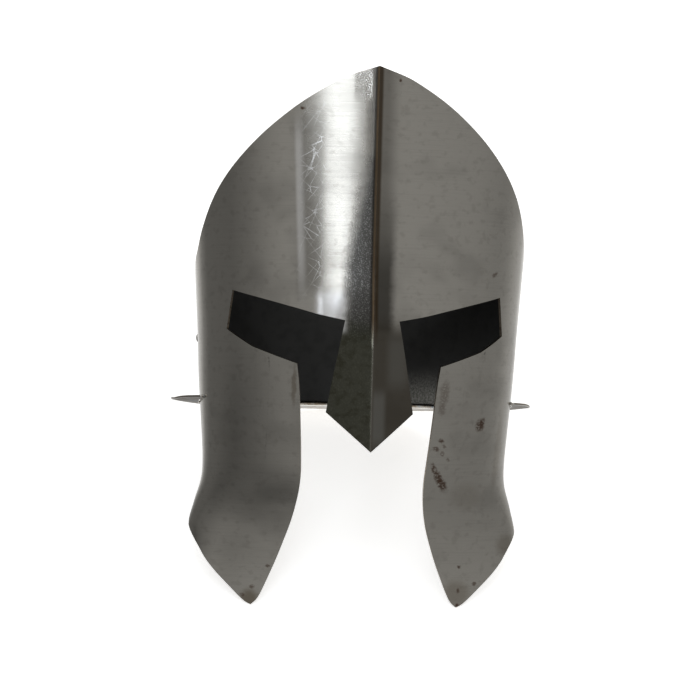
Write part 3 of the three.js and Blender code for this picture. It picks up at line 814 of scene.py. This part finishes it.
def skull_section(size, steps_side=20, steps_arch=72):
    """Half section beside the face plate: straight sides, then the arch moved inwards.

    The arch is a fine curve taken at steps that grow closer towards the crown."""
    base = neck_line(0.0) + RIVET["gap"]
    heights = mix(base, SKULL["sides"], np.arange(steps_side) / steps_side)
    sides = np.stack([half_width(heights) - SKULL["side_inset"], heights], -1)
    rows = [(half_width(SKULL["sides"]), SKULL["sides"]), *zip(ARCH["x"][::-1], ARCH["height"][::-1])]
    fine = spline(rows, ARCH_STEPS)
    t = 1 - (1 - np.arange(steps_arch + 1) / steps_arch) ** 1.5
    nearest = (t * ARCH_STEPS).round().astype(int)
    at = np.clip(nearest, 1, ARCH_STEPS - 1)
    along = unit(fine[at + 1] - fine[at - 1])
    inset = mix(SKULL["side_inset"], SKULL["arch_inset"], ease(0.1, 0.7, t))
    place = fine[nearest]
    arch = np.stack([place[:, 0] - along[:, 1] * inset, place[:, 1] + along[:, 0] * inset], -1)
    arch[-1, 0] = 0.0
    return np.concatenate([sides, arch])


def skull_surface(size, section, columns_front=12, columns_rear=56):
    """Section carried straight back, then shrunk as a quarter ellipse and rounded off.

    In front it follows the plate's half ellipse and keel, a little inside. The sides shrink by the
    square root of (1 - y squared over depth squared). The crown first swells by a small share, then
    falls on an ellipse of its own. The section's outline gives way to a superellipse to the rear."""
    base = neck_line(0.0) + RIVET["gap"]
    x, z = section[:, 0][:, None], section[:, 1][:, None]
    width = float(section[0, 0])
    top = float(section[:, 1].max()) - base
    depth = size.rear_depth / MM - SKULL["side_inset"]
    front_reach = size.front_depth / MM - SKULL["front_clear"]
    across = np.minimum(1.0, np.abs(x) / (half_width(z) - SKULL["front_clear"]))
    keel = np.maximum(0.0, keel_rise(size, x, z) - SKULL["keel_clear"])
    front = -front_reach * np.sqrt(1 - across**2) - keel
    v = np.linspace(0, 1, columns_front, endpoint=False)[None]
    ahead = mix(front, SKULL["start"], v)
    turns = np.linspace(math.asin(SKULL["start"] / depth), math.pi / 2, columns_rear + 1)
    y = np.concatenate([ahead, np.broadcast_to(depth * np.sin(turns), (len(section), len(turns)))], 1)
    reach = np.hypot(x, z - base)
    c, s = np.abs(x) / reach, (z - base) / reach
    side = np.sqrt(np.maximum(0.0, 1 - (np.maximum(y, 0.0) / depth) ** 2))
    past = y - SKULL_CREST["centre"]
    swell = np.where(past < 0, 1 - (past / SKULL_CREST["front"]) ** 2, 1.0)
    fall = np.where(
        past < 0, 1.0, np.sqrt(np.maximum(0.0, 1 - (past / (depth - SKULL_CREST["centre"])) ** 2)))
    crest = (1 + SKULL_CREST["rise"] * np.maximum(0.0, swell)) * fall
    shrink = mix(side, crest, ease(SKULL_CREST["start"], 1, s))
    power = SKULL["power"]
    rounded = ((c / width) ** power + (s / (top * SKULL["round_top"])) ** power) ** (-1 / power)
    scale = shrink * mix(1.0, rounded / reach, ease(30, size.rear_depth / MM, y))
    return np.stack([x * scale, y, base + (z - base) * scale - NECK["slope"] * np.maximum(y, 0)], -1)


def full_section(size):
    """Right half of the section, then its mirror image back down the left."""
    half = skull_section(size)
    return np.concatenate([half, half[-2::-1] * (-1.0, 1.0)])


class HELMET_OT_skull_shell(bpy.types.Operator):
    """Skull shell: the round back of the helmet behind the face plate"""

    bl_idname = "helmet.skull_shell"
    bl_label = "Skull Shell"

    def execute(self, context):
        size = context.scene.helmet_sizes
        colours = context.scene.helmet_colours
        outer = skull_surface(size, full_section(size))
        rows, columns = outer.shape[:2]
        up = np.empty_like(outer)
        up[1:-1] = outer[2:] - outer[:-2]
        up[0], up[-1] = outer[1] - outer[0], outer[-1] - outer[-2]
        back = np.empty_like(outer)
        back[:, 1:-1] = outer[:, 2:] - outer[:, :-2]
        back[:, 0], back[:, -1] = outer[:, 1] - outer[:, 0], outer[:, -1] - outer[:, -2]
        normal = np.cross(back, up)
        normal[[0, -1], :, 2] = 0.0
        normal[:, 0, 1] = 0.0
        inner = outer - unit(normal) * size.sheet / MM
        inner[:, -1] = outer[:, -1] - (0.0, size.sheet / MM, 0.0)
        cells = grid_quads(rows, columns)[:, ::-1]
        numbers = np.arange(rows * columns).reshape(rows, columns)
        numbers[:, -1] = numbers[0, -1]
        cells = numbers.ravel()[cells]
        solid, faces, kind = thicken(outer.reshape(-1, 3), inner.reshape(-1, 3), cells)
        piece = make_piece("skull_shell_raised", solid, faces, sheet_materials(colours),
                           ("skull_shell",), kind)
        round_edges(piece, size.edge_radius)
        return {"FINISHED"}


def guard_turns(size):
    """Angles round the body from one end of the guard to the other, with none inside the cheek's root."""
    root = CHEEK["root"]
    start, before, after = (
        float(turn_of_rear(size, y, NECK["height"])) for y in (GUARD["front"], root + 0.3, root + 4))
    half = np.concatenate([
        np.linspace(start, before, 40, endpoint=False), [before],
        np.linspace(after, math.pi, 90, endpoint=False)])
    return np.concatenate([half, [math.pi], (2 * math.pi - half)[::-1]])


class HELMET_OT_neck_guard(bpy.types.Operator):
    """Neck guard: a narrow strip round the foot of the shells, rounded and turned up at its ends"""

    bl_idname = "helmet.neck_guard"
    bl_label = "Neck Guard"

    def execute(self, context):
        size = context.scene.helmet_sizes
        sheet = size.sheet / MM
        turns = guard_turns(size)
        level = np.full(len(turns), NECK["height"])
        p = body_point(size, turns, level)
        out = unit(body_normal(size, turns, level) * (1, 1, 0))

        # width: a power of the way from the nearer end
        travelled = np.r_[0, np.cumsum(np.linalg.norm(np.diff(p, axis=0), axis=1))]
        from_end = np.clip(np.minimum(travelled, travelled[-1] - travelled) / GUARD["end_length"], 0, 1)
        rear = ease(0, size.rear_depth / MM, p[:, 1])
        full = mix(size.guard_width / MM, GUARD["rear_width"], rear)
        width = mix(GUARD["end_width"], full, 1 - (1 - from_end) ** GUARD["end_power"])

        # height: the neck line, raised in front, and tilted across the strip
        hug = np.where(p[:, 1] > CHEEK["root"] + 0.6, -SKULL["side_inset"] - sheet, GUARD["clear"])
        ahead = np.clip((GUARD["level"] - p[:, 1]) / (GUARD["level"] - GUARD["front"]), 0, 1)
        tilt = mix(GUARD["droop"], GUARD["rear_droop"], rear) / full
        top = neck_line(p[:, 1]) + GUARD["front_rise"] * ahead
        low, high = top - np.minimum(0, tilt) * hug, top - tilt * width
        corners = []
        for away, height in ((hug, low), (width, high), (width, high - sheet), (hug, low - sheet)):
            corner = p + out * away[:, None]
            corner[:, 2] = height
            corners.append(corner)
        points = np.stack(corners, 1)

        rings = len(turns)
        number = np.arange(rings * 4).reshape(rings, 4)
        after = np.roll(number, -1, axis=1)
        sides = np.stack([number[:-1], after[:-1], after[1:], number[1:]], -1).reshape(-1, 4)
        ends = np.stack([number[0, ::-1], number[-1]])
        # upper face, outer edge, underside heat coloured by the welds, inner edge; then both ends
        kind = np.r_[np.tile([0, 2, 1, 2], rings - 1), 2, 2]
        steel = brushed_steel(context.scene.helmet_colours)
        materials = (steel, welded_steel(), filed_steel(), rubbed_steel())
        piece = make_piece("neck_guard_strip", points.reshape(-1, 3), np.concatenate([sides, ends]),
                           materials, ("neck_guard",), kind)
        round_edges(piece, size.edge_radius)
        return {"FINISHED"}


class HELMET_OT_rivets(bpy.types.Operator):
    """Rivets: a domed head on each wing, with its shank and flattened tail"""

    bl_idname = "helmet.rivets"
    bl_label = "Rivets"

    def execute(self, context):
        size = context.scene.helmet_sizes
        colours = context.scene.helmet_colours
        turn = turn_of_rear(size, RIVET["rear"], RIVET["height"])
        place = body_point(size, turn, RIVET["height"])
        axis = body_normal(size, turn, RIVET["height"])
        tail = -(SKULL["side_inset"] + size.sheet / MM + 2 * RIVET["gap"])
        radius, height = size.rivet_radius / MM, size.rivet_height / MM
        angle = np.linspace(0, math.pi / 2, 12)
        dome = np.stack([radius * np.cos(angle), 0.1 + height * np.sin(angle)], -1)
        dome[-1, 0] = 0.0
        wide, shank, thick = RIVET["tail_radius"], RIVET["shank_radius"], RIVET["tail_height"]
        profile = np.concatenate([
            [(0, tail - thick), (wide - 0.6, tail - thick + 0.1), (wide, tail - 0.3), (wide, tail),
             (shank, tail), (shank, 0.1), (radius - 0.15, 0.05)], dome])
        spin = np.linspace(0, 2 * math.pi, 40, endpoint=False)
        for name, side in (("left", -1.0), ("right", 1.0)):
            outward = axis * (side, 1, 1)
            across = unit(np.cross(outward, (0.0, 0.0, 1.0)))
            up = np.cross(across, outward)
            circle = np.cos(spin)[:, None] * across + np.sin(spin)[:, None] * up
            points = (place * (side, 1, 1) + profile[None, :, 1:] * outward
                      + profile[None, :, :1] * circle[:, None, :])
            rows, columns = points.shape[:2]
            number = np.arange(rows * columns).reshape(rows, columns)
            number[:, 0], number[:, -1] = number[0, 0], number[0, -1]
            after = np.roll(number, -1, axis=0)
            faces = np.stack([number[:, :-1], number[:, 1:], after[:, 1:], after[:, :-1]], -1)
            make_piece(f"rivet_{name}_domed", points.reshape(-1, 3), faces.reshape(-1, 4),
                       (brushed_steel(colours),), (f"rivet_{name}",))
        return {"FINISHED"}


def bead(name, path, radius, seed=0.0):
    """Tube along a path, closed to a point at both ends, that swells in ripples.

    The radius is the full one times the square root of the way from the nearer end, times a sine of
    10 % for each ripple, times two slow sines of 12 % that make it uneven. The path sways by 0.2 mm."""
    path = np.asarray(path, float)
    length = np.r_[0, np.cumsum(np.linalg.norm(np.diff(path, axis=0), axis=1))]
    along = np.linspace(0, length[-1], max(8, int(length[-1] / WELD["step"])) + 1)
    centre = np.stack([np.interp(along, length, path[:, k]) for k in range(3)], -1)
    forward = unit(np.gradient(centre, axis=0))
    across = unit(np.cross(forward, (0.12, 0.3, 0.95)))
    up = np.cross(across, forward)
    ends = np.sqrt(np.clip(np.minimum(along, along[-1] - along) / radius, 0, 1))
    uneven = 0.12 * np.sin(along / 4.7 + seed) * np.sin(along / 11.3)
    swell = 1 + 0.10 * np.sin(along * math.tau / WELD["ripple"]) + uneven
    girth = radius * ends * swell
    centre = centre + up * (0.2 * np.sin(along / 6.1 + 2 * seed))[:, None]
    count = WELD["sides"]
    spin = np.arange(count) * math.tau / count
    ring = np.cos(spin)[None, :, None] * across[:, None] + np.sin(spin)[None, :, None] * up[:, None]
    points = centre[:, None] + ring * girth[:, None, None]
    number = np.arange(len(along) * count).reshape(len(along), count)
    number[0], number[-1] = number[0, 0], number[-1, 0]
    after = np.roll(number, -1, axis=1)
    faces = np.stack([number[:-1], number[1:], after[1:], after[:-1]], -1)
    return make_piece(name, points.reshape(-1, 3), faces.reshape(-1, 4), (welded_steel(),))


class HELMET_OT_welds(bpy.types.Operator):
    """Welds: beads behind the arch and along the foot of the skull shell, and tacks at the guard's ends"""

    bl_idname = "helmet.welds"
    bl_label = "Welds"

    def execute(self, context):
        size = context.scene.helmet_sizes
        radius, sheet = size.weld_radius / MM, size.sheet / MM
        section = full_section(size)
        shell = skull_surface(size, section)

        # behind the arch, in the corner between the plate and the shell
        arch = section[section[:, 1] > WELD["arch_from"]]
        turn = turn_of_x(arch[:, 0], arch[:, 1])
        inwards = body_normal(size, turn, arch[:, 1]) * (sheet + RIVET["gap"])
        back = body_point(size, turn, arch[:, 1]) - inwards
        outward = unit(np.stack([arch[:, 0], np.zeros(len(arch)), arch[:, 1] - 20.0], -1))
        bead("weld_arch", back - outward * WELD["arch_in"], WELD["thin"] * radius)

        # along the foot: outside in the corner over the guard, and inside on the seam
        foot = np.concatenate([shell[0], shell[-1, -2::-1]])
        rear = foot[foot[:, 1] > WING["foot"] + 2]
        outward = unit(rear * (1.0, 0.45, 0.0))
        bead("weld_foot_outside", rear + outward * 0.5 + (0, 0, 0.2), radius, 1.0)
        within = foot[foot[:, 1] > CHEEK["root"] + 8]
        inward = unit(within * (1.0, 0.45, 0.0)) * (sheet + 0.1)
        bead("weld_foot_inside", within - inward - (0, 0, 0.3), WELD["thin"] * radius, 2.0)

        # tacks where the guard's ends meet the cheek guards
        y = np.linspace(GUARD["front"] - 1.0, GUARD["front"] + 6.0, 8)
        height = NECK["height"] + GUARD["front_rise"]
        turn = turn_of_rear(size, y, height)
        place = body_point(size, turn, np.full(len(y), height))
        for name, side in (("left", -1.0), ("right", 1.0)):
            bead(f"weld_tack_{name}", place * (side, 1, 1) - (0, 0, 0.4), WELD["tack"] * radius,
                 side)
        return {"FINISHED"}


# Brightness round the helmet as the steel mirrors it, by turn from the camera in degrees
AROUND = (
    (-180, 1.5), (-165, 1.3), (-152, 1.0), (-143, 0.72), (-135, 0.58), (-127, 0.28), (-117, 0.16),
    (-80, 0.15), (-62, 0.2), (-50, 0.28), (-35, 0.37), (-22, 0.33), (-12, 0.38), (10, 0.38), (40, 0.36),
    (70, 0.33), (100, 0.27), (112, 0.30), (125, 0.42), (140, 0.56), (152, 0.9), (168, 1.3),
)

# Studio in metres and degrees. The glow of the mirrored room makes up for its colours being halved.
FLOOR = {"half": 6.0, "glow": 0.84, "card_height": 0.0004}
ROOM = {"glow": 2.0, "plain": 0.22}
SOFT_BOX = {"turn": -4.0, "rise": 18.8, "away": 2.2, "wide": 0.6, "high": 1.3, "radiance": 3.5}
FILL = {"rear": 0.1, "height": 2.4, "side": 3.0, "radiance": 0.75}

# In upright millimetres: the point that the soft box faces, and the keel that the camera faces
MIDDLE = (0.0, -40.0, 40.0)
KEEL_LINE = (0.0, -82.5, 0.0)


def surroundings(tree, direction, turn):
    """Grey by the turn round the upright helmet, halved.

    It is darker below the level in front, most on the left, and one even grey high up."""
    upright = add_node(
        tree, "ShaderNodeMapping", {"Vector": direction, "Rotation": (LEAN, 0, turn)}).outputs[0]
    even = add_node(tree, "ShaderNodeVectorMath", {0: upright}, operation="NORMALIZE").outputs[0]
    axes = add_node(tree, "ShaderNodeSeparateXYZ", {0: even})
    right, rear, up = axes.outputs[0], axes.outputs[1], axes.outputs[2]
    forward = add_node(tree, "ShaderNodeMath", {0: rear, 1: -1.0}, operation="MULTIPLY").outputs[0]
    angle = add_node(tree, "ShaderNodeMath", {0: right, 1: forward}, operation="ARCTAN2").outputs[0]
    share = add_node(tree, "ShaderNodeMath", {0: angle, 1: 0.5 / math.pi, 2: 0.5}, operation="MULTIPLY_ADD")
    ramp = add_node(tree, "ShaderNodeValToRGB", {0: share.outputs[0]})
    stops = ramp.color_ramp.elements
    while len(stops) < len(AROUND):
        stops.new(0.5)
    for stop, (degrees, grey) in zip(stops, AROUND):
        stop.position = degrees / 360 + 0.5
        stop.color = (grey / 2, grey / 2, grey / 2, 1.0)
    low = both(tree, band(tree, up, -0.04, -0.3), band(tree, forward, -0.3, 0.2))
    low_left = both(tree, low, band(tree, right, 0.05, -0.25))
    high = band(tree, up, 0.3, 0.75)
    dimmed = paint(tree, ramp.outputs[0], low, "#000000", 0.14)
    dimmed = paint(tree, dimmed, low_left, "#000000", 0.16)
    return paint(tree, dimmed, high, "#7f7f7f", 0.8)


def make_stage_plane(name, material, height):
    """Square plane that belongs to the stage."""
    half = FLOOR["half"]
    mesh = bpy.data.meshes.new(name)
    corners = [(-half, -half, height), (half, -half, height), (half, half, height), (-half, half, height)]
    mesh.from_pydata(corners, [], [(0, 1, 2, 3)])
    mesh.materials.append(material)
    plane = bpy.data.objects.new(name, mesh)
    bpy.context.scene.collection.objects.link(plane)
    return plane


def light_table(floor_colour):
    """Matt white acrylic sheet, lit a little from behind."""
    material, _, shader = new_material("white acrylic light table, matt")
    shader.inputs["Base Color"].default_value = linear(floor_colour)
    shader.inputs["Roughness"].default_value = 0.9
    shader.inputs["Emission Color"].default_value = linear(floor_colour)
    shader.inputs["Emission Strength"].default_value = FLOOR["glow"]
    return material


def mirrored_floor(turn):
    """Card that only the steel sees: the room below the level, as it looks from 150 mm over the floor."""
    material = bpy.data.materials.new("card, grey gradient")
    material.use_nodes = True
    tree = material.node_tree
    tree.nodes.clear()
    place = add_node(tree, "ShaderNodeTexCoord").outputs["Object"]
    seen_from = add_node(
        tree, "ShaderNodeVectorMath", {0: place, 1: (0.0, -0.05, 0.15)}, operation="SUBTRACT").outputs[0]
    emission = add_node(tree, "ShaderNodeEmission", {
        "Color": surroundings(tree, seen_from, turn), "Strength": ROOM["glow"]})
    add_node(tree, "ShaderNodeOutputMaterial", {"Surface": emission.outputs[0]})
    return material


def studio_world(turn):
    """Plain white light, with the grey room in its place where the steel mirrors it."""
    world = bpy.data.worlds.new("studio")
    world.use_nodes = True
    tree = world.node_tree
    tree.nodes.clear()
    direction = add_node(tree, "ShaderNodeTexCoord").outputs["Generated"]
    mirrored = add_node(tree, "ShaderNodeBackground", {
        "Color": surroundings(tree, direction, turn), "Strength": ROOM["glow"]})
    plain = add_node(tree, "ShaderNodeBackground", {"Color": (1, 1, 1, 1), "Strength": ROOM["plain"]})
    rays = add_node(tree, "ShaderNodeLightPath")
    choice = add_node(tree, "ShaderNodeMixShader", {
        0: rays.outputs["Is Glossy Ray"], 1: plain.outputs[0], 2: mirrored.outputs[0]})
    add_node(tree, "ShaderNodeOutputWorld", {"Surface": choice.outputs[0]})
    return world


def add_light(name, place, target, wide, high, radiance):
    """Area light that faces a target; its watts are radiance times pi times its area."""
    light = bpy.data.lights.new(name, "AREA")
    light.shape = "RECTANGLE"
    light.size, light.size_y = wide, high
    light.energy = radiance * math.pi * wide * high
    holder = bpy.data.objects.new(name, light)
    holder.location = Vector(place)
    holder.rotation_euler = Vector(target - place).to_track_quat("-Z", "Y").to_euler()
    holder.visible_camera = False
    bpy.context.scene.collection.objects.link(holder)
    return holder


def add_camera(studio, right, ahead, up, place):
    """Camera that looks ahead in the helmet's upright frame, turned by its roll and leaned with it."""
    right, ahead, up = leaned(right), leaned(ahead), leaned(up)
    roll = studio.roll
    camera = bpy.data.objects.new("camera", bpy.data.cameras.new("camera"))
    camera.data.sensor_width = 36.0
    camera.data.lens = studio.lens
    camera.data.clip_end = 50.0
    matrix = np.eye(4)
    matrix[:3, 0] = math.cos(roll) * right + math.sin(roll) * up
    matrix[:3, 1] = -math.sin(roll) * right + math.cos(roll) * up
    matrix[:3, 2] = -ahead
    matrix[:3, 3] = place
    camera.matrix_world = Matrix(matrix.tolist())
    bpy.context.scene.collection.objects.link(camera)
    return camera


class HELMET_OT_stage(bpy.types.Operator):
    """Stage: pale floor, soft light and the camera"""

    bl_idname = "helmet.stage"
    bl_label = "Stage"

    def execute(self, context):
        scene = context.scene
        studio = scene.helmet_studio
        floor = make_stage_plane("floor", light_table(studio.floor_colour), 0.0)
        floor.visible_glossy = False
        card = make_stage_plane("floor_card", mirrored_floor(studio.turn), FLOOR["card_height"])
        card.visible_camera = card.visible_diffuse = card.visible_shadow = card.visible_transmission = False
        scene.world = studio_world(studio.turn)
        scene.view_settings.view_transform = "Standard"

        turn = studio.turn
        right = np.array([math.cos(turn), -math.sin(turn), 0.0])
        ahead = np.array([math.sin(turn), math.cos(turn), 0.0])
        up = np.array([0.0, 0.0, 1.0])
        place = standing(np.array(KEEL_LINE) - ahead * studio.distance / MM - right * studio.across / MM)
        scene.camera = add_camera(studio, right, ahead, up, place)

        # tall soft box beside the camera, and an even fill for the floor
        middle = standing(np.array(MIDDLE))
        az, rise = math.radians(SOFT_BOX["turn"]), math.radians(SOFT_BOX["rise"])
        level = math.cos(az) * -ahead + math.sin(az) * right
        toward = leaned(math.cos(rise) * level + math.sin(rise) * up)
        box = add_light("tall_soft_box", middle + SOFT_BOX["away"] * toward, middle,
                        SOFT_BOX["wide"], SOFT_BOX["high"], SOFT_BOX["radiance"])
        box.data.color = (0.85, 0.91, 1.0)
        below = np.array([0.0, FILL["rear"], 0.0])
        fill = add_light("overhead_fill", below + FILL["height"] * up, below,
                         FILL["side"], FILL["side"], FILL["radiance"])
        fill.visible_glossy = False
        return {"FINISHED"}


class HELMET_PT_panel(bpy.types.Panel):
    """Lists the sizes, the colours and the steps"""

    bl_idname = "HELMET_PT_panel"
    bl_label = "Helmet"
    bl_space_type = "VIEW_3D"
    bl_region_type = "UI"
    bl_category = "Helmet"

    def draw(self, context):
        layout = self.layout
        for group in (context.scene.helmet_sizes, context.scene.helmet_colours, context.scene.helmet_studio):
            box = layout.box()
            for key in group.__annotations__:
                box.prop(group, key)
        for step in STEPS:
            layout.operator(step.bl_idname)


STEPS = (
    HELMET_OT_face_plate,
    HELMET_OT_skull_shell,
    HELMET_OT_neck_guard,
    HELMET_OT_rivets,
    HELMET_OT_welds,
    HELMET_OT_stage,
)
CLASSES = (HelmetSizes, HelmetColours, HelmetStudio, *STEPS, HELMET_PT_panel)


def register():
    for item in CLASSES:
        bpy.utils.register_class(item)
    bpy.types.Scene.helmet_sizes = PointerProperty(type=HelmetSizes)
    bpy.types.Scene.helmet_colours = PointerProperty(type=HelmetColours)
    bpy.types.Scene.helmet_studio = PointerProperty(type=HelmetStudio)


def unregister():
    del bpy.types.Scene.helmet_studio
    del bpy.types.Scene.helmet_colours
    del bpy.types.Scene.helmet_sizes
    for item in reversed(CLASSES):
        bpy.utils.unregister_class(item)


def main():
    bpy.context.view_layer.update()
    register()
    bpy.ops.helmet.face_plate()
    bpy.ops.helmet.skull_shell()
    bpy.ops.helmet.neck_guard()
    bpy.ops.helmet.rivets()
    bpy.ops.helmet.welds()
    bpy.ops.helmet.stage()


if __name__ == "__main__":
    main()
